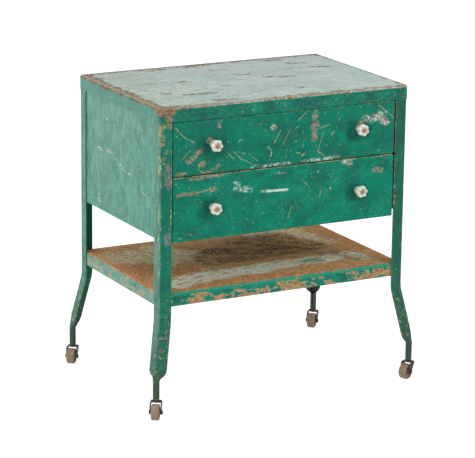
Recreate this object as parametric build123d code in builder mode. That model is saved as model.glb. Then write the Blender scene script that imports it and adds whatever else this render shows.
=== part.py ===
from build123d import *
import math
import os

# Steel stand with two drawers, an open shelf and four swivel casters, in millimetres.
# The origin is on the floor under the middle of the whole stand, +Z is up and the drawers open towards -Y.

# Overall size
width = 610.0
depth = 408.0
height = 676.0

# Middle of the cabinet from the middle of the whole stand, whose casters trail to the front left
middle_x = 4.6
middle_y = 6.4

# Top panel
top_sheet = 1.2
top_flange = 32.0
top_bend = 5.0
top_corner = 7.0

# Legs, folded to an L, flared outwards and rolled to a round foot
leg_sheet = 2.5
leg_flange = 28.0
leg_bend = 6.0
flare_top = 214.0
flare_bottom = 96.0
flare_offset = 22.0
flare_radius = 90.0
taper_top = 116.0
shoulder_height = 103.0
shoulder_flange = 25.5
shoulder_bend = 7.0
foot_top = 84.0
foot_bottom = 44.5
foot_diameter = 14.5
foot_seam_angle = 24.0

# Side and back panels
panel_sheet = 1.2
panel_bottom = 388.5
panel_lip = 10.0
panel_corner_gap = 0.5

# Shelf
shelf_top = 270.4
shelf_sheet = 1.5
shelf_flange = 30.0
shelf_bend = 4.5
shelf_corner = 5.0
shelf_rivet_inset = 18.0
rivet_shank = 4.0
rivet_hole_clearance = 0.1
rivet_head = 7.0
rivet_head_height = 1.6
rivet_head_round = 1.2
rivet_tail_height = 1.2

# Drawer fronts
front_sheet = 1.2
front_depth = 14.0
front_bend = 3.0
front_corner = 4.0
front_side_gap = 2.5
front_top_gap = 1.0
front_between_gap = 2.0
front_heights = {"upper": 118.5, "lower": 141.5}

# Drawer pans
pan_sheet = 1.0
pan_lift = 4.0
pan_drop = 14.0
pan_lip = 10.0
pan_lip_gap = 1.8
pan_back_gap = 1.0

# Drawer runners
runner_sheet = 1.5
runner_groove = 3.5
runner_slide_gap = 0.3
runner_side_gap = 1.0
runner_end_gap = 1.0

# Knobs
knob_inset = 125.0
knob_drops = {"upper": 54.0, "lower": 71.5}
knob_lobes = 6
knob_lobe_radius = 5.4
knob_lobe_offset = 7.8
knob_core_radius = 8.0
knob_valley_radius = 1.2
knob_head_length = 12.0
knob_neck_length = 12.0
knob_neck_base_radius = 5.5
knob_neck_top_radius = 8.0
knob_front_round = 3.0
knob_back_round = 1.5
knob_recess_radius = 4.6
knob_recess_depth = 1.6
ferrule_radius = 7.5
ferrule_length = 2.0
ferrule_chamfer = 0.8
bolt_radius = 2.0
bolt_hole_clearance = 0.2
bolt_head_radius = 3.8
bolt_head_height = 2.2
bolt_slot_width = 0.9
bolt_slot_depth = 1.0
bolt_end = 2.0
bolt_nut_across_flats = 7.0
bolt_nut_length = 3.2

# Casters
caster_trail = 10.0
caster_headings = {"front_left": -123.0, "front_right": -156.0, "back_left": -130.0, "back_right": -134.0}
wheel_radius = 17.5
wheel_width = 17.5
wheel_shoulder = 3.0
wheel_rim = 4.5
wheel_web = 11.0
wheel_hub_radius = 5.5
wheel_hub_gap = 0.3
fork_gap = 21.6
fork_sheet = 2.2
fork_top = 40.4
fork_plate_length = 14.0
fork_eye_radius = 5.0
fork_shoulder = 4.0
boss_radius = 6.5
swivel_gap = 0.3
axle_radius = 2.5
axle_clearance = 0.05
axle_head_radius = 4.4
axle_head_height = 1.8
axle_end = 0.4
axle_nut_across_flats = 8.0
axle_nut_length = 2.6
stem_radius = 3.9
stem_head_radius = 5.4
stem_head_height = 1.4
stem_clearance = 0.05
stem_top_gap = 3.0
stem_chamfer = 0.8
socket_fit = 0.05
socket_rim_radius = 7.0
socket_rim_height = 1.2
socket_length = 32.0

# Planes and lines that the pieces share
leg_x = width / 2 - top_sheet
leg_y = depth / 2 - top_sheet
leg_top = height - top_bend
inner_x = leg_x - leg_sheet
inner_y = leg_y - leg_sheet
panel_inner_x = inner_x - panel_sheet
panel_inner_y = inner_y - panel_sheet
panel_edge = leg_bend - leg_sheet + panel_corner_gap
opening_x = leg_x - leg_flange
foot_radius = foot_diameter / 2
swivel_x = leg_x + flare_offset - foot_radius
swivel_y = leg_y + flare_offset - foot_radius
front_half_width = opening_x - front_side_gap
knob_x = width / 2 - knob_inset
front_back_y = -leg_y + front_depth
lip_half_width = opening_x - pan_lip_gap
pan_half_width = lip_half_width - pan_lip
pan_inner_half_width = pan_half_width - pan_sheet
pan_front_y = -leg_y + front_sheet
pan_back_y = panel_inner_y - pan_back_gap
runner_tip_x = pan_half_width + runner_side_gap
runner_front_y = front_back_y + runner_end_gap
runner_back_y = panel_inner_y - runner_end_gap
rivet_z = shelf_top - shelf_flange / 2
rivet_x = leg_x - shelf_rivet_inset
rivet_y = leg_y - shelf_rivet_inset
corner_signs = {"front_left": (-1, -1), "front_right": (1, -1), "back_left": (-1, 1), "back_right": (1, 1)}
side_signs = {"left": -1, "right": 1}

# Heights of the two drawer fronts, from the top down
upper_front_top = height - top_flange - front_top_gap
upper_front_bottom = upper_front_top - front_heights["upper"]
lower_front_top = upper_front_bottom - front_between_gap
front_tops = {"upper": upper_front_top, "lower": lower_front_top}

os.makedirs("parts", exist_ok=True)


def save(part, name):
    """Label a finished piece, set it over the origin and write it as its own file."""
    placed = part.moved(Location((middle_x, middle_y, 0)))
    placed.label = name
    export_step(placed, f"parts/{name}.step")


def mirrored(part, sign_x, sign_y):
    """A copy of a front left piece, turned over to the corner with these signs."""
    with BuildPart() as copy:
        add(part)
        if sign_x > 0:
            mirror(about=Plane.YZ, mode=Mode.REPLACE)
        if sign_y > 0:
            mirror(about=Plane.XZ, mode=Mode.REPLACE)
    return copy.part


# Top panel: one sheet with a flange folded down on all four sides
with BuildPart() as top_panel:
    with BuildSketch(Plane.XY.offset(height - top_flange)):
        RectangleRounded(width, depth, top_corner)
    extrude(amount=top_flange)
    fillet(top_panel.faces().sort_by(Axis.Z)[-1].edges(), radius=top_bend)
    offset(amount=-top_sheet, openings=top_panel.faces().sort_by(Axis.Z)[0])
save(top_panel.part, "top_panel")

# Leg at the front left corner. Its sections are drawn looking along the corner's diagonal:
# local X runs across the diagonal, local Y from the outer corner towards the middle of the cabinet.
across = Vector(1, -1, 0).normalized()
outward = Vector(-1, -1, 0).normalized()
corner = Vector(-leg_x, -leg_y, 0)
flare_share = (flare_top - taper_top) / (flare_top - flare_bottom)
taper_corner = corner + outward * flare_offset * flare_share * math.sqrt(2)
foot_corner = corner + outward * flare_offset * math.sqrt(2)
flange_reach = leg_flange / math.sqrt(2)

with BuildLine() as leg_path:
    Polyline(
        corner + Vector(0, 0, leg_top),
        corner + Vector(0, 0, flare_top),
        taper_corner + Vector(0, 0, taper_top),
    )
    fillet(leg_path.vertices().sort_by(Axis.Z)[1], radius=flare_radius)

shoulder_share = (taper_top - shoulder_height) / (taper_top - foot_top)
shoulder_corner = taper_corner + (foot_corner - taper_corner) * shoulder_share

leg_start = Plane(origin=leg_path.line @ 0, x_dir=across, z_dir=leg_path.line % 0)
leg_end = Plane(origin=leg_path.line @ 1, x_dir=across, z_dir=leg_path.line % 1)
shoulder_plane = Plane(origin=shoulder_corner + Vector(0, 0, shoulder_height), x_dir=across, z_dir=leg_path.line % 1)
foot_plane = Plane(origin=foot_corner + Vector(0, 0, foot_top), x_dir=across, z_dir=(0, 0, -1))


def section_face(plane, outer, inner):
    """A face between three outer and three inner stretches, kept as eight separate edges for the loft."""
    seam_right = Line(outer[-1] @ 1, inner[0] @ 0)
    seam_left = Line(inner[-1] @ 1, outer[0] @ 0)
    return plane * Face(Wire([*outer, seam_right, *inner, seam_left]))


def angle_section(plane, flange=leg_flange, bend=leg_bend):
    """The L section of a leg, with its outer corner at the plane's origin."""
    centre = (0, -bend * math.sqrt(2))
    straight = flange - bend
    to_left = Vector(-1, -1).normalized() * straight
    to_right = Vector(1, -1).normalized() * straight
    outer_bend = CenterArc(centre, bend, 135, -90)
    inner_bend = CenterArc(centre, bend - leg_sheet, 45, 90)
    outer = [
        Line((outer_bend @ 0) + to_left, outer_bend @ 0),
        outer_bend,
        Line(outer_bend @ 1, (outer_bend @ 1) + to_right),
    ]
    inner = [
        Line((inner_bend @ 0) + to_right, inner_bend @ 0),
        inner_bend,
        Line(inner_bend @ 1, (inner_bend @ 1) + to_left),
    ]
    return section_face(plane, outer, inner)


def foot_section(plane):
    """The rolled section of the foot: an open ring whose seam faces the middle of the cabinet."""
    centre = (0, -foot_radius * math.sqrt(2))
    bore_radius = foot_radius - leg_sheet
    seam_start = 270 - foot_seam_angle / 2
    side_sweep = seam_start - 135
    outer = [
        CenterArc(centre, foot_radius, seam_start, -side_sweep),
        CenterArc(centre, foot_radius, 135, -90),
        CenterArc(centre, foot_radius, 45, -side_sweep),
    ]
    inner = [
        CenterArc(centre, bore_radius, 45 - side_sweep, side_sweep),
        CenterArc(centre, bore_radius, 45, 90),
        CenterArc(centre, bore_radius, 135, side_sweep),
    ]
    return section_face(plane, outer, inner)


with BuildPart() as front_left_leg:
    sweep(sections=angle_section(leg_start), path=leg_path.line)
    loft(sections=[
        angle_section(leg_end),
        angle_section(shoulder_plane, shoulder_flange, shoulder_bend),
        foot_section(foot_plane),
    ])
    extrude(foot_section(foot_plane), amount=foot_top - foot_bottom, dir=(0, 0, -1))
    with Locations((-rivet_x, -leg_y, rivet_z)):
        Cylinder(rivet_shank / 2 + rivet_hole_clearance, 4 * leg_sheet, rotation=(90, 0, 0), mode=Mode.SUBTRACT)
    with Locations((-leg_x, -rivet_y, rivet_z)):
        Cylinder(rivet_shank / 2 + rivet_hole_clearance, 4 * leg_sheet, rotation=(0, 90, 0), mode=Mode.SUBTRACT)

for corner_name, (sign_x, sign_y) in corner_signs.items():
    save(mirrored(front_left_leg.part, sign_x, sign_y), f"{corner_name}_leg")

# Caster sockets: a sleeve in the bore of each foot, with a rim under its end
socket_outer = foot_radius - leg_sheet - socket_fit
with BuildPart() as front_left_socket:
    with BuildSketch(Plane.XY.offset(foot_bottom)):
        with Locations((-swivel_x, -swivel_y)):
            Circle(socket_outer)
    extrude(amount=socket_length)
    with BuildSketch(Plane.XY.offset(foot_bottom - socket_rim_height)):
        with Locations((-swivel_x, -swivel_y)):
            Circle(socket_rim_radius)
    extrude(amount=socket_rim_height)
    with BuildSketch(Plane.XY.offset(foot_bottom - socket_rim_height)):
        with Locations((-swivel_x, -swivel_y)):
            Circle(stem_radius + stem_clearance)
    extrude(amount=socket_rim_height + socket_length, mode=Mode.SUBTRACT)

for corner_name, (sign_x, sign_y) in corner_signs.items():
    save(mirrored(front_left_socket.part, sign_x, sign_y), f"{corner_name}_caster_socket")

# Side panels: a sheet behind the legs' flanges, with a lip folded inwards along its lower edge
for side, sign in side_signs.items():
    with BuildPart() as side_panel:
        with BuildSketch(Plane.XZ.offset(inner_y - panel_edge)):
            with Locations((sign * (inner_x - panel_sheet / 2), (leg_top + panel_bottom) / 2)):
                Rectangle(panel_sheet, leg_top - panel_bottom)
            with Locations((sign * (inner_x - panel_lip / 2), panel_bottom + panel_sheet / 2)):
                Rectangle(panel_lip, panel_sheet)
        extrude(amount=-2 * (inner_y - panel_edge))
    save(side_panel.part, f"{side}_side_panel")

# Back panel: a plain sheet between the rear legs
with BuildPart() as back_panel:
    with BuildSketch(Plane.XZ.offset(-panel_inner_y)):
        with Locations((0, (leg_top + panel_bottom) / 2)):
            Rectangle(2 * (inner_x - panel_edge), leg_top - panel_bottom)
    extrude(amount=-panel_sheet)
save(back_panel.part, "back_panel")

# Shelf: a sheet with its edges folded down, held between the four legs
with BuildPart() as shelf:
    with BuildSketch(Plane.XY.offset(shelf_top - shelf_flange)):
        RectangleRounded(2 * inner_x, 2 * inner_y, shelf_corner)
    extrude(amount=shelf_flange)
    fillet(shelf.faces().sort_by(Axis.Z)[-1].edges(), radius=shelf_bend)
    offset(amount=-shelf_sheet, openings=shelf.faces().sort_by(Axis.Z)[0])
    with Locations((-rivet_x, 0, rivet_z), (rivet_x, 0, rivet_z)):
        Cylinder(rivet_shank / 2 + rivet_hole_clearance, depth, rotation=(90, 0, 0), mode=Mode.SUBTRACT)
    with Locations((0, -rivet_y, rivet_z), (0, rivet_y, rivet_z)):
        Cylinder(rivet_shank / 2 + rivet_hole_clearance, width, rotation=(0, 90, 0), mode=Mode.SUBTRACT)
save(shelf.part, "shelf")

# Shelf rivets: two at each corner. One is drawn along +Z with the leg's outer face at Z = 0.
rivet_grip = leg_sheet + shelf_sheet
with BuildPart() as rivet:
    with BuildSketch(Plane.XY):
        Circle(rivet_head / 2)
    extrude(amount=rivet_head_height)
    fillet(rivet.faces().sort_by(Axis.Z)[-1].edges(), radius=rivet_head_round)
    with BuildSketch(Plane.XY):
        Circle(rivet_shank / 2)
    extrude(amount=-rivet_grip)
    with BuildSketch(Plane.XY.offset(-rivet_grip)):
        Circle(rivet_head / 2)
    extrude(amount=-rivet_tail_height)

rivet_places = []
for sign_x, sign_y in corner_signs.values():
    rivet_places.append(Location((sign_x * rivet_x, sign_y * leg_y, rivet_z), (-sign_y * 90, 0, 0)))
    rivet_places.append(Location((sign_x * leg_x, sign_y * rivet_y, rivet_z), (0, sign_x * 90, 0)))

with BuildPart() as shelf_rivets:
    with Locations(*rivet_places):
        add(rivet.part)
save(shelf_rivets.part, "shelf_rivets")


def pan_top(level):
    """Height of the top of a drawer pan's lips."""
    return front_tops[level] - pan_drop


# Drawer runners: a channel on each side panel, whose groove holds the drawer's lip
for level in front_tops:
    groove_bottom = pan_top(level) - pan_sheet - runner_slide_gap
    groove_middle = groove_bottom + runner_groove / 2
    runner_reach = panel_inner_x - runner_tip_x
    for side, sign in side_signs.items():
        with BuildPart() as runner:
            with BuildSketch(Plane.XZ.offset(-runner_front_y)):
                with Locations((sign * (panel_inner_x - runner_reach / 2), groove_middle)):
                    Rectangle(runner_reach, runner_groove + 2 * runner_sheet)
                with Locations((sign * (panel_inner_x - runner_sheet - runner_reach / 2), groove_middle)):
                    Rectangle(runner_reach, runner_groove, mode=Mode.SUBTRACT)
            extrude(amount=runner_front_y - runner_back_y)
        save(runner.part, f"{level}_{side}_runner")

# Drawer fronts and pans
bolt_hole_radius = bolt_radius + bolt_hole_clearance
knob_places = [-knob_x, knob_x]

for level, front_top in front_tops.items():
    front_height = front_heights[level]
    knob_z = front_top - knob_drops[level]

    with BuildPart() as drawer_front:
        with BuildSketch(Plane.XZ.offset(leg_y)):
            with Locations((0, front_top - front_height / 2)):
                RectangleRounded(2 * front_half_width, front_height, front_corner)
        extrude(amount=-front_depth)
        fillet(drawer_front.faces().sort_by(Axis.Y)[0].edges(), radius=front_bend)
        offset(amount=-front_sheet, openings=drawer_front.faces().sort_by(Axis.Y)[-1])
        with BuildSketch(Plane.XZ.offset(leg_y)):
            with Locations(*[(x, knob_z) for x in knob_places]):
                Circle(bolt_hole_radius)
        extrude(amount=-front_sheet, mode=Mode.SUBTRACT)
    save(drawer_front.part, f"{level}_drawer_front")

    pan_bottom = front_top - front_height + pan_lift
    pan_height = pan_top(level) - pan_bottom
    pan_depth = pan_back_y - pan_front_y
    pan_middle_y = (pan_front_y + pan_back_y) / 2
    with BuildPart() as drawer_pan:
        with BuildSketch(Plane.XY.offset(pan_bottom)):
            with Locations((0, pan_middle_y)):
                Rectangle(2 * pan_inner_half_width, pan_depth)
        extrude(amount=pan_height)
        with BuildSketch(Plane.XY.offset(pan_bottom + pan_sheet)):
            with Locations((0, pan_middle_y)):
                Rectangle(2 * pan_inner_half_width, pan_depth - 2 * pan_sheet)
        extrude(amount=pan_height, mode=Mode.SUBTRACT)
        with BuildSketch(Plane.XZ.offset(-pan_front_y)):
            with Locations(*[(x, knob_z) for x in knob_places]):
                Circle(bolt_hole_radius)
        extrude(amount=-pan_sheet, mode=Mode.SUBTRACT)
    save(drawer_pan.part, f"{level}_drawer_pan")

    # Drawer sides, folded outwards to the lips that slide in the runners
    for side, sign in (("left", -1), ("right", 1)):
        with BuildPart() as drawer_side:
            with BuildSketch(Plane.XY.offset(pan_bottom)):
                with Locations((sign * (pan_half_width - pan_sheet / 2), pan_middle_y)):
                    Rectangle(pan_sheet, pan_depth)
            extrude(amount=pan_height)
            with BuildSketch(Plane.XY.offset(pan_top(level) - pan_sheet)):
                with Locations((sign * (pan_half_width + pan_lip / 2 - pan_sheet / 2), (runner_front_y + pan_back_y) / 2)):
                    Rectangle(pan_lip + pan_sheet, pan_back_y - runner_front_y)
            extrude(amount=pan_sheet)
        save(drawer_side.part, f"{level}_drawer_{side}_side")

# Knob and its hardware, drawn with the drawer's face at Y = 0 and the knob towards -Y
knob_back_y = -ferrule_length - knob_neck_length
knob_front_y = knob_back_y - knob_head_length

with BuildPart() as knob:
    with BuildSketch(Plane.XZ.offset(-knob_back_y)) as lobed:
        Circle(knob_core_radius)
        with PolarLocations(knob_lobe_offset, knob_lobes):
            Circle(knob_lobe_radius)
        fillet(lobed.vertices().sort_by_distance((0, 0, 0))[:knob_lobes], radius=knob_valley_radius)
    extrude(amount=knob_head_length)
    fillet(knob.faces().sort_by(Axis.Y)[0].edges(), radius=knob_front_round)
    fillet(knob.faces().sort_by(Axis.Y)[-1].edges(), radius=knob_back_round)
    with BuildSketch(Plane.XZ.offset(ferrule_length)):
        Circle(knob_neck_base_radius)
    with BuildSketch(Plane.XZ.offset(-knob_back_y)):
        Circle(knob_neck_top_radius)
    loft()
    with BuildSketch(Plane.XZ.offset(-knob_front_y)):
        Circle(knob_recess_radius)
    extrude(amount=-knob_recess_depth, mode=Mode.SUBTRACT)
    with BuildSketch(Plane.XZ):
        Circle(bolt_hole_radius)
    extrude(amount=-knob_front_y, mode=Mode.SUBTRACT)

with BuildPart() as ferrule:
    with BuildSketch(Plane.XZ):
        Circle(ferrule_radius)
    extrude(amount=ferrule_length)
    chamfer(ferrule.faces().sort_by(Axis.Y)[0].edges(), length=ferrule_chamfer)
    with BuildSketch(Plane.XZ):
        Circle(bolt_hole_radius)
    extrude(amount=ferrule_length, mode=Mode.SUBTRACT)

bolt_seat_y = knob_front_y + knob_recess_depth
nut_seat_y = front_sheet + pan_sheet
with BuildPart() as bolt:
    with BuildSketch(Plane.XZ.offset(-bolt_seat_y)):
        Circle(bolt_head_radius)
    extrude(amount=bolt_head_height)
    fillet(bolt.faces().sort_by(Axis.Y)[0].edges(), radius=bolt_head_height * 0.6)
    with BuildSketch(Plane.XZ.offset(-bolt_seat_y + bolt_head_height)):
        Rectangle(2 * bolt_head_radius, bolt_slot_width)
    extrude(amount=-bolt_slot_depth, mode=Mode.SUBTRACT)
    with BuildSketch(Plane.XZ.offset(-bolt_seat_y)):
        Circle(bolt_radius)
    extrude(amount=bolt_seat_y - nut_seat_y - bolt_nut_length - bolt_end)

with BuildPart() as bolt_nut:
    with BuildSketch(Plane.XZ.offset(-nut_seat_y)):
        RegularPolygon(bolt_nut_across_flats / 2, 6, major_radius=False)
        Circle(bolt_radius, mode=Mode.SUBTRACT)
    extrude(amount=-bolt_nut_length)

for level, front_top in front_tops.items():
    knob_z = front_top - knob_drops[level]
    for side, sign in side_signs.items():
        with BuildPart() as placed_knob:
            with Locations((sign * knob_x, -leg_y, knob_z)):
                add(knob.part)
        save(placed_knob.part, f"{level}_{side}_knob")
    for piece, name in ((ferrule, "knob_ferrules"), (bolt, "knob_bolts"), (bolt_nut, "knob_nuts")):
        with BuildPart() as pair:
            with Locations(*[(x, -leg_y, knob_z) for x in knob_places]):
                add(piece.part)
        save(pair.part, f"{level}_{name}")

# Caster pieces, drawn with the swivel axis on Z and the wheel trailing towards +X
fork_half = fork_gap / 2 + fork_sheet
boss_top = foot_bottom - socket_rim_height - swivel_gap
axle_line = Axis((caster_trail, 0, wheel_radius), (0, 1, 0))

with BuildPart() as fork:
    with BuildSketch(Plane.XZ):
        with Locations((caster_trail, wheel_radius)):
            Circle(fork_eye_radius)
        with Locations((0, fork_top - fork_sheet / 2)):
            Rectangle(fork_plate_length, fork_sheet)
        make_hull()
    extrude(amount=fork_half, both=True)
    fillet(fork.faces().sort_by(Axis.Z)[-1].edges().filter_by(Axis.X), radius=fork_shoulder)
    with BuildSketch(Plane.XZ) as fork_space:
        with Locations((caster_trail / 2, (fork_top - fork_sheet) / 2)):
            Rectangle(4 * wheel_radius, fork_top - fork_sheet)
    extrude(amount=fork_gap / 2, both=True, mode=Mode.SUBTRACT)
    with BuildSketch(Plane.XY.offset(fork_top)):
        Circle(boss_radius)
    extrude(amount=boss_top - fork_top)
    with BuildSketch(Plane.XY.offset(fork_top - fork_sheet)):
        Circle(stem_radius + stem_clearance)
    extrude(amount=fork_sheet + boss_top - fork_top, mode=Mode.SUBTRACT)
    with BuildSketch(Plane.XZ):
        with Locations((caster_trail, wheel_radius)):
            Circle(axle_radius + axle_clearance)
    extrude(amount=fork_half, both=True, mode=Mode.SUBTRACT)

with BuildPart() as stem:
    with BuildSketch(Plane.XY.offset(fork_top - fork_sheet - stem_head_height)):
        Circle(stem_head_radius)
    extrude(amount=stem_head_height)
    with BuildSketch(Plane.XY.offset(fork_top - fork_sheet)):
        Circle(stem_radius)
    extrude(amount=foot_bottom + socket_length - stem_top_gap - fork_top + fork_sheet)
    chamfer(stem.faces().sort_by(Axis.Z)[-1].edges(), length=stem_chamfer)

wheel_bore = axle_radius + axle_clearance
hub_half = fork_gap / 2 - wheel_hub_gap
with BuildPart() as wheel:
    with BuildSketch(Plane(origin=(caster_trail, 0, wheel_radius), x_dir=(0, 1, 0), z_dir=(1, 0, 0))) as section:
        with BuildLine():
            tread = Polyline(
                (-wheel_width / 2, wheel_radius - wheel_rim),
                (-wheel_width / 2, wheel_radius),
                (wheel_width / 2, wheel_radius),
                (wheel_width / 2, wheel_radius - wheel_rim),
            )
            Polyline(
                tread @ 1,
                (wheel_web / 2, wheel_radius - wheel_rim),
                (wheel_web / 2, wheel_hub_radius),
                (hub_half, wheel_hub_radius),
                (hub_half, wheel_bore),
                (-hub_half, wheel_bore),
                (-hub_half, wheel_hub_radius),
                (-wheel_web / 2, wheel_hub_radius),
                (-wheel_web / 2, wheel_radius - wheel_rim),
                tread @ 0,
            )
        make_face()
        fillet(section.vertices().group_by(Axis.Y)[-1], radius=wheel_shoulder)
    revolve(axis=axle_line)

with BuildPart() as axle:
    with BuildSketch(Plane.XZ.offset(fork_half)):
        with Locations((caster_trail, wheel_radius)):
            Circle(axle_head_radius)
    extrude(amount=axle_head_height)
    fillet(axle.faces().sort_by(Axis.Y)[0].edges(), radius=axle_head_height * 0.8)
    with BuildSketch(Plane.XZ.offset(fork_half)):
        with Locations((caster_trail, wheel_radius)):
            Circle(axle_radius)
    extrude(amount=-2 * fork_half - axle_nut_length - axle_end)

with BuildPart() as axle_nut:
    with BuildSketch(Plane.XZ.offset(-fork_half)):
        with Locations((caster_trail, wheel_radius)):
            RegularPolygon(axle_nut_across_flats / 2, 6, major_radius=False)
            Circle(axle_radius, mode=Mode.SUBTRACT)
    extrude(amount=-axle_nut_length)

caster_pieces = {
    "caster_fork": fork,
    "caster_stem": stem,
    "caster_wheel": wheel,
    "caster_axle": axle,
    "caster_axle_nut": axle_nut,
}
for corner_name, (sign_x, sign_y) in corner_signs.items():
    heading = caster_headings[corner_name]
    for piece_name, piece in caster_pieces.items():
        with BuildPart() as placed:
            with Locations(Location((sign_x * swivel_x, sign_y * swivel_y, 0), (0, 0, heading))):
                add(piece.part)
        save(placed.part, f"{corner_name}_{piece_name}")
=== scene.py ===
import functools
import math

import bmesh
import bpy
from mathutils import Matrix, Vector


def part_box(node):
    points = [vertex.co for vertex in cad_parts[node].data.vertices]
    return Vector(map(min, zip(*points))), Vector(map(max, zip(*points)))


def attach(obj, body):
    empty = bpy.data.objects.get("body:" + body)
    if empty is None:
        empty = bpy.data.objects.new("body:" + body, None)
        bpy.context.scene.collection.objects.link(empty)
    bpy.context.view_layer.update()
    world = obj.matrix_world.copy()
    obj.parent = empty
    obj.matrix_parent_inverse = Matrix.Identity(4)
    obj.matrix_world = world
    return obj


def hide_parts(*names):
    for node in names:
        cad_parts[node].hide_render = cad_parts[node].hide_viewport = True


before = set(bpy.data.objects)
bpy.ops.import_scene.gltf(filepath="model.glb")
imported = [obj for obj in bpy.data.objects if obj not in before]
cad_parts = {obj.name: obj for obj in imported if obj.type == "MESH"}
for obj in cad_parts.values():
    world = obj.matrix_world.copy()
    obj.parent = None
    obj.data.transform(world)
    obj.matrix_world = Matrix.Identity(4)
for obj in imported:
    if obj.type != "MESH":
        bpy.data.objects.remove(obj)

bl_info = {
    "name": "Steel stand with two drawers",
    "version": (1, 0, 0),
    "blender": (4, 5, 0),
    "location": "3D View > Sidebar > Steel Stand",
    "description": "Gives the packed drawer stand its worn finish and knobs, and makes a stage with a camera",
    "category": "Object",
}

MM = 0.001
CORNERS = ("front_left", "front_right", "back_left", "back_right")
LEVELS = ("upper", "lower")
SIDES = ("left", "right")
# The two of the axes X, Y and Z that lie in each face of the stand.
FACES = {"front": (0, 2), "top": (0, 1), "side": (1, 2)}
# The cabinet's middle lies a few millimetres from the origin, which is under the middle of the whole stand.
LOW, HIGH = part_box("top_panel")
MIDDLE = Vector(((LOW.x + HIGH.x) / 2, (LOW.y + HIGH.y) / 2, 0))


def linear(code):
    """A '#rrggbb' sRGB colour as linear red, green, blue and alpha. Any other colour stays as it is."""
    if not isinstance(code, str):
        return code
    parts = [int(code[i:i + 2], 16) / 255 for i in (1, 3, 5)]
    return (*(c / 12.92 if c <= 0.04045 else ((c + 0.055) / 1.055) ** 2.4 for c in parts), 1.0)


def add(tree, kind, inputs=(), **settings):
    """Adds one node to a tree, sets it and fills its inputs with numbers or with other nodes' outputs."""
    node = tree.nodes.new(kind)
    for name, value in settings.items():
        setattr(node, name, value)
    for key, value in dict(inputs).items():
        if isinstance(value, bpy.types.NodeSocket):
            tree.links.new(value, node.inputs[key])
        else:
            node.inputs[key].default_value = value
    return node


def heights(node):
    """The lowest and the highest millimetre of a CAD node above the floor."""
    return [corner.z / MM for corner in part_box(node)]


def colour(name, code, about):
    """A colour that a user may change, written as the sRGB value it is seen as."""
    return bpy.props.FloatVectorProperty(
        name=name, description=about, subtype="COLOR", size=4, min=0, max=1, default=linear(code))


def number(name, default, about, **kind):
    """A number that a user may change."""
    return bpy.props.FloatProperty(name=name, description=about, default=default, **kind)


def length(name, millimetres, about):
    """A length that a user may change, in metres and given here in millimetres."""
    return number(name, millimetres * MM, about, unit="LENGTH", precision=5, min=0)


def angle(name, degrees, about):
    """An angle that a user may change, given here in degrees."""
    return number(name, math.radians(degrees), about, unit="ROTATION")


class StandPaint(bpy.types.PropertyGroup):
    """Colours of the paint and of what shows where it's gone."""
    green: colour("Green enamel", "#00846A", "The last coat on the legs, panels and drawers")
    green_bright: colour("Fresh green enamel", "#008F72", "The green coat where it's kept its depth")
    green_dull: colour("Dull green enamel", "#0A6052", "The green coat where it's darkened")
    green_grey: colour("Scuffed green enamel", "#286B5A", "The green coat where it's rubbed dull")
    pale: colour("Pale enamel", "#A9BDB6", "The coat on the top sheet")
    primer: colour("Primer", "#A98583", "The pinkish coat under the green")
    cream: colour("Cream undercoat", "#BFB27F", "The old coat that scratches open")
    white: colour("White rub", "#D3E4DC", "Paint of other things, rubbed on")
    tan_rust: colour("Tan rust", "#A57B56", "Dry rust at the rims of bare patches")
    dark_rust: colour("Dark rust", "#5B3A27", "Old rust in the middle of bare patches")


class StandKnobs(bpy.types.PropertyGroup):
    """Sizes and colours of the drawer knobs."""
    spacing: length("Spacing", 360, "Distance between the two knobs of a drawer")
    upper_height: length("Upper height", 589, "Height of the upper knobs above the floor")
    lower_height: length("Lower height", 451, "Height of the lower knobs above the floor")
    lobe_circle: length("Lobe circle", 7.8, "Radius of the circle that the lobes' centres lie on")
    lobe_radius: length("Lobe radius", 5.4, "Radius of one lobe")
    neck_radius: length("Neck radius", 5.5, "Radius of the neck where it meets the ferrule")
    neck_top_radius: length("Neck top radius", 8, "Radius of the neck where it meets the head")
    head_length: length("Head length", 12, "Length of the lobed head")
    neck_length: length("Neck length", 12, "Length of the neck behind the head")
    bore_radius: length("Bore radius", 2.2, "Radius of the hole for the bolt")
    glaze: colour("Glaze", "#F2F1E6", "The white glaze")


class StandStage(bpy.types.PropertyGroup):
    """The camera's place and the lamps' strength."""
    azimuth: angle("Azimuth", -28.223, "Turn of the camera round the stand")
    elevation: angle("Elevation", 14.966, "Angle of the camera above the floor")
    roll: angle("Roll", 0.717, "Turn of the camera about its own line of sight")
    distance: length("Distance", 5418.583, "Distance of the camera from the stand")
    aim_height: length("Aim height", 326.5, "Height above the floor that the camera turns round")
    aim_left: length("Aim left", 7.539, "How far the camera is shifted to its left")
    aim_up: length("Aim up", 5.981, "How far the camera is shifted upwards")
    focal_length: number("Focal length", 182.1, "Focal length of the camera's lens", unit="CAMERA")
    key: number("Key lamp", 41, "Strength of the large lamp at the front right", unit="POWER", min=0)
    fill: number("Fill", 0.62, "Strength of the room's even light", min=0)


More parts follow.
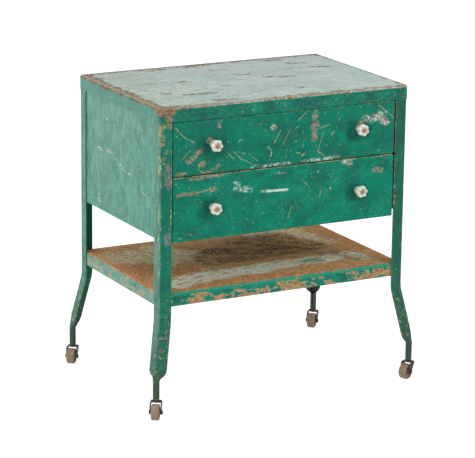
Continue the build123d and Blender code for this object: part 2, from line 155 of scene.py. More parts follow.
class Finish:
    """One surface of the stand, built up from its lowest layer. Sizes, places and heights are in millimetres,
    from the cabinet's middle on the floor."""

    def __init__(self, name, colour, roughness, height=0.0):
        self.material = bpy.data.materials.new(name)
        self.material.use_nodes = True
        tree = self.material.node_tree
        tree.nodes.clear()
        self.add = functools.partial(add, tree)
        self.place = self.add("ShaderNodeVectorMath", {
            0: self.add("ShaderNodeTexCoord").outputs["Object"], 1: MIDDLE,
        }, operation="SUBTRACT").outputs[0]
        self.colour, self.roughness, self.height = linear(colour), roughness, height

    def grain(self, size, turn=(0, 0, 0), seed=0.0, detail=3.0, rough=0.55):
        """An irregular value round 0.5 whose spots have a size along three turned directions."""
        size = (size,) * 3 if isinstance(size, (int, float)) else size
        at = self.add("ShaderNodeMapping", {
            "Vector": self.place, "Location": (seed, 0.7 * seed, 1.3 * seed),
            "Rotation": [math.radians(a) for a in turn], "Scale": [s * MM for s in size],
        }, vector_type="TEXTURE")
        return self.add("ShaderNodeTexNoise", {
            "Vector": at.outputs[0], "Scale": 1.0, "Detail": detail, "Roughness": rough,
        }).outputs["Fac"]

    def ragged(self, reach, size):
        """The surface's own coordinates, shifted irregularly by up to reach."""
        shift = self.add("ShaderNodeTexNoise", {
            "Vector": self.place, "Scale": 1 / (size * MM), "Detail": 3.0,
        })
        shift = self.add("ShaderNodeVectorMath", {
            0: shift.outputs["Color"], 1: (0.5, 0.5, 0.5),
        }, operation="SUBTRACT")
        return self.add("ShaderNodeVectorMath", {
            0: shift.outputs[0], 1: (2 * reach * MM,) * 3, 2: self.place,
        }, operation="MULTIPLY_ADD").outputs[0]

    def joined(self, operation, first, *others):
        """Values brought together one after the other."""
        for other in others:
            first = self.add("ShaderNodeMath", {0: first, 1: other}, operation=operation).outputs[0]
        return first

    def total(self, first, *parts):
        """A value with others added to it, each times its own share."""
        return self.joined("ADD", first, *(self.joined("MULTIPLY", value, share) for value, share in parts))

    def both(self, *masks):
        """A mask that shows only where all of the masks do."""
        return self.joined("MULTIPLY", *masks)

    def where(self, value, start, end, *masks):
        """A mask that goes from 0 to 1 as value goes from start to end, where the other masks are."""
        mask = self.add("ShaderNodeMapRange", {"Value": value, "From Min": start, "From Max": end}).outputs[0]
        return self.both(mask, *masks)

    def past(self, axis, start, end, *masks, place=None):
        """A mask that goes from 0 to 1 between two places along an axis, where the other masks are."""
        value = self.add("ShaderNodeSeparateXYZ", {0: place or self.place}).outputs[axis]
        return self.where(value, start * MM, end * MM, *masks)

    def spots(self, size, start, end, *masks, **kind):
        """A mask of irregular spots, from start to end of a grain's value, where the other masks are."""
        return self.where(self.grain(size, **kind), start, end, *masks)

    def dapple(self, colour, roughness, size, start, end, *masks, height=None, **kind):
        """Lays a finish over irregular spots."""
        self.layer(self.spots(size, start, end, *masks, **kind), colour, roughness, height)

    def layer(self, mask, colour, roughness=None, height=None):
        """Lays a finish over what is there, as far as the mask goes."""
        self.colour = self.add("ShaderNodeMix", {
            0: mask, 6: self.colour, 7: linear(colour),
        }, data_type="RGBA").outputs[2]
        if roughness is not None:
            self.roughness = self.add("ShaderNodeMix", {0: mask, 2: self.roughness, 3: roughness}).outputs[0]
        if height is not None:
            self.height = self.add("ShaderNodeMix", {0: mask, 2: self.height, 3: height}).outputs[0]

    def between(self, value, start, end, one, other):
        """A colour that goes from one to the other as value goes from start to end."""
        return self.add("ShaderNodeMix", {
            0: self.where(value, start, end), 6: linear(one), 7: linear(other),
        }, data_type="RGBA").outputs[2]

    def strokes(self, face, place, lines):
        """One mask for several rubs or scratches on a face of the stand, each two ends and a half width."""
        across, up = FACES[face]
        in_face = Vector()
        in_face[across] = in_face[up] = 1
        flat = self.add("ShaderNodeVectorMath", {0: place, 1: in_face}, operation="MULTIPLY").outputs[0]
        masks = []
        for *ends, half_width in lines:
            start, end = Vector(), Vector()
            start[across], start[up], end[across], end[up] = (value * MM for value in ends)
            masks.append(self.stroke(flat, start, end, half_width))
        return self.joined("MAXIMUM", *masks)

    def stroke(self, flat, start, end, half_width):
        """A mask round the straight line between two points in metres."""
        along = (end - start).normalized()
        from_start = self.add("ShaderNodeVectorMath", {0: flat, 1: start}, operation="SUBTRACT").outputs[0]
        reach = self.add("ShaderNodeVectorMath", {
            0: from_start, 1: along,
        }, operation="DOT_PRODUCT").outputs["Value"]
        reach = self.add("ShaderNodeClamp", {
            "Value": reach, "Min": 0.0, "Max": (end - start).length,
        }).outputs[0]
        foot = self.add("ShaderNodeVectorMath", {0: along, "Scale": reach}, operation="SCALE").outputs[0]
        away = self.add("ShaderNodeVectorMath", {
            0: from_start, 1: foot,
        }, operation="DISTANCE").outputs["Value"]
        return self.where(away, half_width * MM, 0.6 * half_width * MM)

    def rim_distance(self, place, node, steep=1.0, outside=0.0):
        """Distance in metres from a rim that lies so far outside the upper rim of a CAD node's box, with the
        way down its sides counted steep times."""
        low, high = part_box(node)
        away = self.add("ShaderNodeVectorMath", {0: place}, operation="ABSOLUTE").outputs[0]
        parts = self.add("ShaderNodeSeparateXYZ", {0: away}).outputs
        inwards_x = self.joined("SUBTRACT", (high.x - low.x) / 2 + outside * MM, parts["X"])
        inwards_y = self.joined("SUBTRACT", (high.y - low.y) / 2 + outside * MM, parts["Y"])
        down = self.joined("MULTIPLY", self.joined("SUBTRACT", high.z, parts["Z"]), steep)
        return self.joined("MAXIMUM", self.joined("MINIMUM", inwards_x, inwards_y), down)

    def edges(self, radius, start, end, *masks):
        """A mask on edges and folds sharper than a radius, where hands and cloths rub first."""
        rounded = self.add("ShaderNodeBevel", {"Radius": radius * MM}, samples=6).outputs[0]
        flat = self.add("ShaderNodeNewGeometry").outputs["Normal"]
        alike = self.add("ShaderNodeVectorMath", {
            0: rounded, 1: flat,
        }, operation="DOT_PRODUCT").outputs["Value"]
        return self.where(alike, start, end, *masks)

    def sideways(self, *masks):
        """A mask on the faces that look to the left or to the right, where the other masks are."""
        normal = self.add("ShaderNodeNewGeometry").outputs["Normal"]
        facing = self.add("ShaderNodeSeparateXYZ", {0: normal}).outputs["X"]
        facing = self.add("ShaderNodeMath", {0: facing}, operation="ABSOLUTE").outputs[0]
        return self.where(facing, 0.5, 0.8, *masks)

    def close(self, metallic=0.0, specular=0.5):
        """Ends the surface in its shader and gives back the material."""
        bump = self.add("ShaderNodeBump", {"Strength": 1.0, "Distance": MM, "Height": self.height})
        shader = self.add("ShaderNodeBsdfPrincipled", {
            "Base Color": self.colour, "Roughness": self.roughness, "Metallic": metallic,
            "Specular IOR Level": specular, "Normal": bump.outputs[0],
        })
        self.add("ShaderNodeOutputMaterial", {"Surface": shader.outputs[0]})
        return self.material


def rust(finish, paint):
    """The colour of bare, rusted sheet: dry tan and dark brown in spots of about 9 mm."""
    mottle = finish.grain(9, seed=2.1, detail=6, rough=0.7)
    return finish.between(mottle, 0.42, 0.58, paint.dark_rust, paint.tan_rust)


def green_enamel(name, paint, chips=0.63, marks=None):
    """Alkyd enamel, brushed on sheet steel and worn for decades: a soft gloss with a slight brush texture,
    rubbed dull in clouds, scratched through to cream and pink undercoats, and chipped to rusty steel."""
    finish = Finish(name, paint.green, 0.42, 0.12)
    broad = finish.grain((55, 55, 38), seed=1.3, detail=7, rough=0.66)
    finish.dapple(paint.green_bright, 0.38, 30, 0.5, 0.62, 0.8, seed=8.8, detail=6, rough=0.7)
    finish.layer(finish.where(broad, 0.44, 0.66, 0.8), paint.green_dull, 0.5)
    finish.dapple(paint.green_dull, 0.5, 22, 0.5, 0.66, 0.55, seed=5.3, detail=8, rough=0.76)
    finish.layer(finish.where(broad, 0.56, 0.72, 0.45), paint.green_grey, 0.55)
    finish.dapple(paint.green_grey, 0.55, (6, 6, 10), 0.52, 0.66, 0.75, seed=4.7, detail=6, rough=0.8)
    finish.dapple("#0C4034", 0.6, 4, 0.58, 0.68, 0.75, seed=2.7, detail=5, rough=0.8)
    # Brush marks lie about 1.5 mm apart and run up and down, and the sheet itself is a little wavy.
    coat = finish.total(0.0, (finish.grain((1.5, 1.5, 200), seed=0.9, detail=2), 0.06),
                        (finish.grain(80, seed=5.1, detail=2), 0.9))
    # Scratches and chips come in clusters.
    busy = finish.spots(70, 0.36, 0.58, seed=6.9, detail=4, rough=0.6)
    for lean, seed, level in ((35, 3.3, 0.66), (-50, 5.9, 0.665), (80, 8.2, 0.67), (4, 6.4, 0.66)):
        scratches = finish.grain((13, 1.5, 1.1), (0, lean, 0), seed, detail=4, rough=0.7)
        finish.layer(finish.where(scratches, level, level + 0.05, busy, 0.75), paint.cream, 0.6)
    chipped = finish.total(finish.grain(5, seed=7.7, detail=6, rough=0.74),
                           (finish.joined("SUBTRACT", busy, 1.0), 0.06))
    undercoat = finish.between(finish.grain(30, seed=4.1), 0.45, 0.55, "#C9BD90", "#B39A86")
    finish.layer(finish.where(chipped, chips, chips + 0.025, 0.85), undercoat, 0.65)
    bare = finish.where(chipped, chips + 0.035, chips + 0.055)
    finish.layer(bare, rust(finish, paint), 0.85)
    finish.height = finish.total(coat, (bare, -0.12))
    if marks:
        marks(finish, paint)
    worn = finish.grain(4, seed=9.1, detail=5, rough=0.75)
    edge = finish.edges(2.2, 0.985, 0.9, finish.where(worn, 0.48, 0.58))
    finish.layer(edge, finish.between(worn, 0.52, 0.62, paint.cream, paint.tan_rust), 0.75)
    return finish.close(specular=0.1)


def chalk_and_sheen_enamel(name, paint):
    """The same green enamel on the cabinet's side and back panels, paler partly from chalking and partly as
    painted sheen:
    dusty, streaked up and down by the brush and by wiping, flaked off in specks along a few cracks, with
    painted shadow beside the flakes."""
    finish = Finish(name, "#20725D", 0.5, 0.12)
    # The pale clouds, streaks and specks stand partly for chalking and partly for painted sheen.
    streaks = finish.grain((13, 13, 34), seed=1.3, detail=7, rough=0.74)
    finish.dapple("#4C9480", 0.5, (46, 46, 60), 0.4, 0.6, 0.8, seed=3.1, detail=7, rough=0.7)
    finish.layer(finish.where(streaks, 0.44, 0.66, 0.75), "#6BA796", 0.55)
    finish.dapple("#226856", 0.45, (16, 16, 30), 0.5, 0.66, 0.7, seed=6.7, detail=7, rough=0.75)
    finish.dapple("#93BBAE", 0.6, 5, 0.55, 0.66, 0.6, seed=4.4, detail=6, rough=0.8)
    finish.dapple("#1B5546", 0.6, (6, 6, 10), 0.56, 0.66, 0.7, seed=2.2, detail=7, rough=0.82)
    coat = finish.total(0.0, (streaks, 0.12), (finish.grain(70, seed=5.1, detail=2), 1.2))
    cracks = finish.strokes("side", finish.ragged(7, 14), [
        (150, 522, 111, 527, 1.6), (111, 527, 41, 532, 3.2), (34, 528, 2, 512, 1.6),
        (2, 512, -31, 500, 3.6), (-31, 500, -59, 502, 1.6), (-110, 476, -135, 470, 2.6),
        (154, 426, 150, 414, 2.6), (108, 422, 104, 404, 3), (78, 606, 64, 600, 4), (-98, 616, -104, 610, 3),
        (-126, 648, -120, 650, 2.4), (-60, 470, -110, 452, 1.2)])
    flaked = finish.grain(5, seed=5.8, detail=6, rough=0.78)
    # The dark green beside the flakes is painted shadow of their broken edges.
    finish.layer(finish.where(flaked, 0.5, 0.44, cracks, 0.7), "#1D4A3E", 0.6)
    flaked = finish.where(flaked, 0.47, 0.54, cracks)
    finish.layer(flaked, "#D2D6BE", 0.6)
    finish.height = finish.total(coat, (flaked, -0.4))
    specks = finish.grain(5, seed=7.7, detail=6, rough=0.74)
    finish.layer(finish.where(specks, 0.65, 0.68), paint.cream, 0.65)
    finish.layer(finish.where(specks, 0.68, 0.7), rust(finish, paint), 0.85)
    return finish.close(specular=0.3)


def drawer_marks(finish, paint):
    """The rubs, scratches and bare patches of the two drawer fronts, with painted shadow round the knobs and
    painted highlight on two edges, each at its own place.
    """
    upper_low, upper_high = heights("upper_drawer_front")
    lower_low, lower_high = heights("lower_drawer_front")
    loose, crisp = finish.ragged(8, 9), finish.ragged(1.6, 12)
    torn = finish.spots(5, 0.47, 0.53, seed=3.9, detail=6, rough=0.82)
    # The upper front is darker than the lower one, in clouds.
    upper = finish.past("Z", lower_high, upper_low)
    finish.dapple("#15604F", 0.5, 44, 0.34, 0.6, upper, 0.4, seed=4.9, detail=7, rough=0.7)
    # Small knocks have flecked both fronts in clusters, pale and dark.
    clusters = finish.spots(45, 0.46, 0.58, seed=2.9, detail=4)
    for size, seed, level, fleck in ((8, 9.7, 0.635, "#BDBB92"), (5, 3.3, 0.6, "#0F4A3C")):
        finish.dapple(fleck, 0.55, size, level, level + 0.025, clusters, 0.8, seed=seed, detail=4, rough=0.66)
    # Painted shadow of the knobs and hand dirt darken the paint round each knob, a little below it.
    knob_shadow_and_dirt = finish.strokes("front", loose, [
        (-192, 584, -172, 580, 30), (172, 584, 190, 580, 28), (-192, 447, -176, 444, 28),
        (172, 447, 188, 444, 28)])
    finish.dapple("#0B4D41", 0.5, 24, 0.3, 0.6, knob_shadow_and_dirt, 0.75, seed=8.1, detail=6, rough=0.7)
    primer = finish.strokes("front", loose, [
        (70, 632, 69, 618, 9), (70, 612, 68, 604, 11), (70, 600, 69, 576, 8), (238, 606, 248, 598, 11),
        (214, 610, 220, 606, 8), (226, 616, 228, 620, 6), (-236, 556, -226, 563, 8),
        (-222, 567, -208, 578, 7), (-163, 633, -164, 626, 6), (-190, 601, -182, 594, 7),
        (148, 518, 158, 516, 9), (224, 491, 238, 488, 8), (-210, 545, -202, 552, 6),
        (-232, 517, -150, 520, 4), (-33, 613, -30, 609, 7)])
    pinkish = finish.between(finish.grain(6, seed=1.9), 0.4, 0.6, paint.primer, "#B7977D")
    finish.layer(finish.both(primer, torn, 0.9), pinkish, 0.8)
    rusty = finish.strokes("front", loose, [
        (-204, 530, -170, 534, 3.6), (-264, 531, -246, 530, 4), (-262, 484, -222, 486, 5.5),
        (-222, 487, -172, 490, 4), (107, 531, 134, 531, 3), (183, 596, 188, 603, 9),
        (-200, 549, -204, 543, 4), (-172, 538, -166, 541, 4.5)])
    tan = finish.between(finish.grain(7, seed=6.2, detail=4), 0.42, 0.58, paint.tan_rust, "#C3A581")
    finish.dapple(tan, 0.85, (26, 5, 1.8), 0.43, 0.56, 0.85, rusty, turn=(0, -4, 0), seed=2.4, detail=6,
                  rough=0.78)
    scratches = finish.strokes("front", crisp, [
        (-269, 632, -249, 611, 1.3), (-249, 611, -224, 597, 1.5), (-15, 602, -30, 577, 1.3),
        (9, 604, -9, 572, 0.9), (91, 591, 79, 548, 0.8), (79, 548, 99, 532, 1.2), (63, 650, 28, 621, 0.9),
        (-140, 564, -128, 551, 1.3), (-127, 566, -108, 547, 1.3), (-116, 566, -100, 560, 0.9),
        (-106, 548, -84, 536, 0.8), (229, 637, 255, 618, 1.1), (255, 618, 270, 604, 0.9),
        (82, 598, 104, 604, 1.3), (15, 429, 7, 406, 1.1), (-13, 424, -6, 429, 1.4), (39, 490, 54, 474, 0.8),
        (90, 462, 84, 443, 0.9), (131, 612, 131, 616, 1.8), (40, 542, 44, 546, 2.2),
        (-20, 507, 0, 510, 0.9), (20, 603, 28, 607, 1.2), (-255, 560, -232, 580, 0.7),
        (113, 581, 116, 588, 1.6), (-95, 560, -70, 541, 0.7), (44, 578, 40, 560, 0.7)])
    finish.dapple(paint.cream, 0.6, 4, 0.42, 0.54, scratches, 0.8, seed=5.2, detail=5, rough=0.75)
    rubs = finish.strokes("front", crisp, [
        (-46, 572, -36, 558, 1.6), (-36, 558, -41, 542, 1.6), (-60, 472.5, 4, 470, 3),
        (-84, 529, 8, 528, 5), (36, 529, 114, 529, 4), (-122, 486, -88, 479, 8), (-35, 612, -31, 611, 6),
        (196, 612, 214, 604, 8), (214, 604, 244, 616, 10), (148, 519, 162, 517, 9),
        (-124, 498, -116, 496, 6), (-116, 588, -110, 592, 4), (240, 600, 254, 594, 7)])
    finish.dapple(paint.white, 0.6, (6, 5, 3.4), 0.495, 0.57, 0.85, rubs, turn=(0, -6, 0), seed=6.6,
                  detail=6, rough=0.8)
    # One wide white rub runs across the lower front.
    rub = finish.strokes("front", crisp, [(-46, 471.4, 4, 470.2, 3.2)])
    finish.dapple(paint.white, 0.6, (24, 5, 1.6), 0.36, 0.5, rub, seed=7.1, detail=4)
    # Three edges have thin pale lines, partly worn paint and partly painted highlight on the bends of the two
    # top edges, and the upper front's lower edge has a few rusty chips.
    height = finish.add("ShaderNodeSeparateXYZ", {0: finish.ragged(0.8, 10)}).outputs["Z"]
    worn = finish.grain((22, 4, 4), seed=2.6, detail=6, rough=0.75)
    for edge, colour, level in (
            (lower_high - 0.3, paint.cream, 0.46), (upper_high - 0.5, paint.cream, 0.52),
            (upper_low + 0.5, paint.tan_rust, 0.54), (lower_low + 0.5, paint.cream, 0.52)):
        from_edge = finish.joined("SUBTRACT", height, edge * MM)
        from_edge = finish.add("ShaderNodeMath", {0: from_edge}, operation="ABSOLUTE").outputs[0]
        line = finish.where(from_edge, 1.6 * MM, 0.8 * MM, finish.where(worn, level, level + 0.06), 0.75)
        finish.layer(line, colour, 0.7)


def leg_marks(finish, paint):
    """The legs' own marks: sides paled by chalk and by painted sheen, stained and chipped feet, and rubs on
    the front left corner.
    """
    place = finish.ragged(5, 9)
    torn = finish.grain(6, seed=3.9, detail=6, rough=0.8)
    front = finish.past("Y", -190, -195, place=place)
    # The sides facing left and right are paler in spots, partly chalk like the panels beside them and partly
    # painted sheen.
    sides = finish.sideways(0.9)
    finish.dapple("#78A898", 0.55, (12, 12, 40), 0.34, 0.6, sides, seed=7.4, detail=7, rough=0.74)
    # The right legs are darker, in clouds.
    shade = finish.joined("MAXIMUM", finish.past("X", 200, 280, 0.8, place=place), 0.3)
    finish.dapple("#28503F", 0.5, 20, 0.24, 0.56, shade, seed=3.6, detail=7, rough=0.74)
    # Dirt and brown stain gather towards the feet.
    stain = finish.grain(12, seed=6.3, detail=6, rough=0.75)
    for top, bottom, start, end, amount, dirt, roughness in (
            (340, 160, 0.38, 0.62, 0.75, "#306352", 0.5), (170, 90, 0.36, 0.6, 0.8, "#3B5342", 0.6),
            (105, 80, 0.3, 0.5, 0.75, "#424F40", 0.6)):
        stained = finish.past("Z", top, bottom, finish.where(stain, start, end), amount, place=place)
        finish.layer(stained, dirt, roughness)
    # Chips lie above the round feet.
    low = finish.both(finish.past("Z", 280, 140, place=place), finish.past("Z", 84, 100, place=place))
    low = finish.spots((9, 9, 12), 0.55, 0.575, 0.85, low, seed=8.4, detail=7, rough=0.78)
    finish.layer(low, finish.between(finish.grain(6, seed=4.4), 0.44, 0.56, "#B3A888", "#574230"), 0.8)
    mauve = finish.strokes("front", place, [(-286, 548, -284, 508, 10), (-286, 398, -285, 384, 9)])
    finish.layer(finish.where(torn, 0.45, 0.53, mauve, front, 0.75), "#8E7C84", 0.8)
    rusty = finish.strokes("front", place, [
        (-298, 640, -299, 600, 8), (-279, 638, -303, 646, 8), (-290, 585, -296, 560, 5)])
    finish.layer(finish.where(torn, 0.5, 0.56, rusty, front), "#B0905F", 0.85)
    # Chips follow the outer corners of the front legs and the inner edges beside the drawers.
    chips = finish.strokes("front", place, [
        (-303, 640, -303, 300, 3), (-276, 640, -276, 380, 2.5), (276, 640, 276, 380, 2.5),
        (303, 640, 303, 220, 3), (303, 210, 330, 100, 4)])
    finish.dapple(paint.cream, 0.7, (6, 6, 14), 0.545, 0.59, chips, front, seed=1.2, detail=5, rough=0.75)


def top_enamel(paint):
    """Pale alkyd enamel, brushed over the green on the top only: chalky and fine-scratched, worn through
    round the rim to brown rusty steel, and green below the fold."""
    finish = Finish("Pale enamel on sheet steel", paint.pale, 0.5, 0.12)
    finish.dapple("#98AFA8", 0.55, 60, 0.42, 0.62, seed=2.3, detail=7, rough=0.68)
    finish.dapple("#BCCBC6", 0.5, (60, 8, 8), 0.5, 0.66, 0.8, turn=(0, 0, 12), seed=6.1, detail=6,
                  rough=0.72)
    finish.dapple("#98907A", 0.6, (34, 7, 7), 0.53, 0.66, 0.75, turn=(0, 0, 9), seed=9.4, detail=7,
                  rough=0.75)
    finish.dapple("#7D8A7E", 0.6, 5, 0.58, 0.7, 0.7, seed=1.4, detail=6, rough=0.8)
    for lean, seed, level in (
            (14, 3.3, 0.64), (-28, 5.9, 0.65), (70, 8.2, 0.66), (2, 4.6, 0.64), (88, 2.4, 0.65)):
        scratches = finish.grain((36, 1.8, 1.8), (0, 0, lean), seed, detail=4, rough=0.68)
        finish.layer(finish.where(scratches, level, level + 0.04, 0.85), "#6C6350", 0.65)
    # Dust has settled towards the back.
    finish.layer(finish.past("Y", -50, 180, 0.3), "#8F9690", 0.55)
    place = finish.ragged(9, 16)
    torn = finish.grain((9, 5, 5), seed=3.9, detail=6, rough=0.8)
    brown = finish.grain(7, seed=8.8, detail=6, rough=0.75)
    brown = finish.between(brown, 0.42, 0.58, "#4C4038", "#86735E")
    patches = finish.strokes("top", place, [
        (58, 8, 76, 0, 9), (92, -6, 120, -14, 11), (-192, -94, -122, -104, 10), (184, 120, 224, 112, 7),
        (208, 64, 250, 52, 8), (72, -130, 80, -130, 8), (-140, 32, -132, 30, 8), (-230, -68, -218, -68, 9),
        (-160, -174, -116, -180, 11), (8, 54, 36, 46, 7), (-50, 178, 14, 186, 11),
        (-150, 170, -110, 176, 8), (150, 168, 190, 174, 8), (-20, 120, 20, 116, 4), (130, 70, 180, 66, 4),
        (-70, -40, -60, -44, 5)])
    finish.layer(finish.where(torn, 0.45, 0.51, patches), brown, 0.8)
    scores = finish.strokes("top", finish.ragged(3, 30), [
        (-30, -128, 64, -98, 1.2), (-70, -142, 20, -110, 1.1), (-280, 40, -230, -60, 1.2),
        (40, 60, 120, 96, 1.1)])
    finish.layer(finish.where(torn, 0.42, 0.5, scores), "#6E624E", 0.7)
    # The left end is flecked with short scuffs.
    scuffs = finish.grain((12, 4, 4), (0, 0, 10), seed=3.5, detail=6, rough=0.78)
    scuffs = finish.total(scuffs, (finish.past("X", -20, -260, place=place), 0.05))
    finish.layer(finish.where(scuffs, 0.6, 0.63, 0.9), "#7F7462", 0.7)
    specks = finish.grain(7, seed=7.7, detail=6, rough=0.75)
    finish.layer(finish.where(specks, 0.635, 0.655), brown, 0.8)
    # Below the fold the sheet is green.
    top = HIGH.z / MM
    apron = finish.past("Z", top - 4, top - 5.5)
    greens = finish.grain(40, seed=1.3, detail=7, rough=0.7)
    finish.layer(apron, finish.between(greens, 0.36, 0.58, paint.green, paint.green_dull), 0.42)
    # The apron's left- and right-facing sides are paler in spots, partly chalk and partly painted sheen.
    sides = finish.sideways(apron, 0.36)
    finish.dapple("#72AC9F", 0.55, (12, 12, 40), 0.3, 0.6, sides, seed=7.4, detail=7, rough=0.74)
    finish.dapple(paint.green_grey, 0.5, 8, 0.5, 0.66, apron, 0.7, seed=4.7, detail=6, rough=0.75)
    for lean, seed, level in ((12, 4.3, 0.67), (70, 7.9, 0.66)):
        scratches = finish.grain((24, 24, 1.6), (0, lean, 0), seed, detail=3, rough=0.6)
        finish.layer(finish.where(scratches, level, level + 0.04, apron, 0.85), paint.cream, 0.6)
    finish.layer(finish.where(specks, 0.625, 0.65, apron, 0.9), paint.cream, 0.65)
    finish.layer(finish.where(specks, 0.65, 0.67, apron), brown, 0.8)
    # The rim is worn widest at the left and back, and only a few drips of it run down the folded sides.
    rim = finish.rim_distance(finish.ragged(5, 9), "top_panel", 2.6)
    uneven = finish.joined("SUBTRACT", finish.grain((26, 26, 60), seed=5.5, detail=8, rough=0.78), 0.5)
    wider = finish.joined("MAXIMUM", finish.past("X", -200, -280), finish.past("Y", 130, 180))
    bare = finish.total(rim, (uneven, -60 * MM), (wider, -10 * MM))
    finish.layer(finish.where(bare, 9.5 * MM, 7.5 * MM, finish.where(torn, 0.4, 0.48), 0.95), brown, 0.8)
    tan = finish.spots(5, 0.38, 0.46, seed=2.8, detail=6, rough=0.78)
    finish.layer(finish.where(rim, 6.2 * MM, 4.2 * MM, tan, 0.9), "#A3916F", 0.75)
    # The front left corner is rusted through.
    corner = finish.strokes("front", place, [(-302, 668, -276, 668, 10), (-290, 664, -282, 654, 9)])
    corner = finish.spots(7, 0.36, 0.46, corner, seed=8.3, detail=6, rough=0.78)
    corner = finish.past("Y", -180, -190, corner, place=place)
    finish.layer(corner, finish.between(torn, 0.44, 0.56, "#6E5546", "#A5856C"), 0.85)
    finish.height = finish.total(0.0, (finish.grain(90, seed=5.1, detail=2), 1.2), (torn, -0.1))
    return finish.close(specular=0.16)


def shelf_rust(paint):
    """Green enamel on a folded shelf that lay bare for decades: its top has rusted through in tan, orange and
    dark brown with pale grey remains of paint, and its folded edges keep about half of their green."""
    finish = Finish("Rusted enamel on the shelf", "#C8935C", 0.85, 0.0)
    # The shelf's rim is counted from the outside of the legs, a sheet's thickness further out.
    leg_sheet = 2.5
    mottle = finish.grain(10, seed=1.1, detail=9, rough=0.82)
    pits = finish.grain(6, seed=2.9, detail=7, rough=0.84)
    place = finish.ragged(20, 34)
    blots = finish.grain((22, 11, 11), (0, 0, 8), seed=6.2, detail=8, rough=0.78)
    finish.dapple("#D3A570", 0.85, 60, 0.46, 0.54, 0.8, seed=3.5, detail=8, rough=0.72)
    finish.dapple("#A0663A", 0.88, 20, 0.53, 0.58, 0.8, seed=9.3, detail=8, rough=0.8)
    # Cream remains of paint lie at the left and at the back on the right.
    cream = finish.strokes("top", place, [
        (-276, 128, -264, 62, 34), (-222, 104, -172, 44, 52), (-150, 130, -96, 30, 44),
        (-250, -120, -240, -70, 20), (214, 132, 236, 20, 30), (120, 150, 180, 140, 40)])
    finish.layer(finish.where(mottle, 0.565, 0.485, cream), "#ECE0BC", 0.85)
    # Orange rust has spread from the edges, and along a band on the left.
    band = finish.strokes("top", place, [
        (-264, 39, -262, -78, 24), (-262, -78, -150, -50, 28), (-40, -158, 8, -163, 14),
        (-262, -172, -140, -188, 20), (270, 60, 284, -60, 40)])
    edge = finish.where(finish.rim_distance(place, "shelf", 0, leg_sheet), 46 * MM, 22 * MM)
    orange = finish.where(mottle, 0.6, 0.45, finish.joined("MAXIMUM", band, edge), 0.85)
    finish.layer(orange, "#BE7B45", 0.88)
    # A dark brown stain covers the middle.
    dark = finish.strokes("top", place, [
        (-80, 0, 190, 10, 56), (40, 70, 140, 96, 62), (-40, 36, 60, 48, 54)])
    finish.layer(finish.where(mottle, 0.62, 0.44, dark, 0.9), "#A98249", 0.85)
    finish.dapple("#6C4927", 0.85, 24, 0.47, 0.55, dark, 0.9, seed=5.9, detail=8, rough=0.74)
    blob = finish.strokes("top", place, [(-44, 70, -10, 60, 17)])
    finish.layer(finish.where(mottle, 0.64, 0.5, blob, 0.9), "#5A3820", 0.85)
    # Pale grey paint is left in a strip along the front.
    pale = finish.strokes("top", place, [
        (-240, -150, -190, -122, 34), (-190, -122, -120, -116, 40), (-120, -112, -30, -118, 36),
        (-30, -112, 79, -104, 38), (79, -108, 182, -100, 32), (228, -94, 244, -130, 22)])
    finish.layer(finish.where(blots, 0.43, 0.47, pale), "#E6E8D4", 0.7)
    finish.layer(finish.where(pits, 0.55, 0.6, 0.85), "#5F3C22", 0.9)
    finish.layer(finish.where(pits, 0.44, 0.4, 0.9), "#EFE5C9", 0.85)
    green_spot = finish.strokes("top", place, [(112, -108, 138, -110, 18)])
    finish.layer(finish.where(blots, 0.42, 0.5, green_spot), "#62A488", 0.6)
    # The folded edges are green.
    top = heights("shelf")[1]
    side = finish.past("Z", top - 1, top - 2)
    greens = finish.grain(24, seed=1.7, detail=7, rough=0.7)
    finish.layer(side, finish.between(greens, 0.44, 0.6, paint.green, paint.green_dull), 0.45)
    finish.dapple(paint.green_grey, 0.5, 7, 0.5, 0.62, side, 0.8, seed=4.7, detail=6, rough=0.78)
    # More paint is gone towards the right end, at the left end of the front and low down.
    along = finish.add("ShaderNodeSeparateXYZ", {0: finish.place}).outputs["X"]
    gone = finish.total(finish.grain((34, 34, 17), seed=8.1, detail=7, rough=0.68), (along, 0.17),
                        (finish.past("X", -262, -276, finish.past("X", -302, -300)), 0.07),
                        (finish.past("Z", 264, 246), 0.05))
    finish.layer(finish.where(gone, 0.535, 0.542, side), "#C3B58C", 0.7)
    tan = finish.between(mottle, 0.46, 0.54, "#A07F5C", "#BF9F76")
    finish.layer(finish.where(gone, 0.542, 0.55, side), tan, 0.85)
    finish.layer(finish.where(gone, 0.545, 0.58, side, finish.where(pits, 0.5, 0.6)), "#6B4B31", 0.85)
    finish.height = finish.total(0.0, (finish.where(gone, 0.55, 0.535, side), 0.15), (pits, 0.25))
    rim = finish.rim_distance(finish.ragged(2, 9), "shelf", 1, leg_sheet)
    finish.layer(finish.where(rim, 4 * MM, 2 * MM, finish.where(mottle, 0.44, 0.52)), "#B07A45", 0.8)
    # The left edge is paler in spots, partly chalk and partly painted sheen, and a strip of green stays along
    # the fold of the front edge.
    left_chalk_and_sheen = finish.past("X", -299, -303, side, 0.85)
    finish.dapple("#8FB2A3", 0.6, (9, 26, 9), 0.36, 0.5, left_chalk_and_sheen, seed=3.2, detail=7, rough=0.75)
    strip = finish.where(rim, 8.5 * MM, 6.5 * MM, finish.where(rim, 1.5 * MM, 3 * MM))
    strip = finish.where(blots, 0.42, 0.48, finish.past("Y", -190, -200, strip))
    finish.layer(strip, paint.green_bright, 0.4)
    return finish.close(specular=0.2)


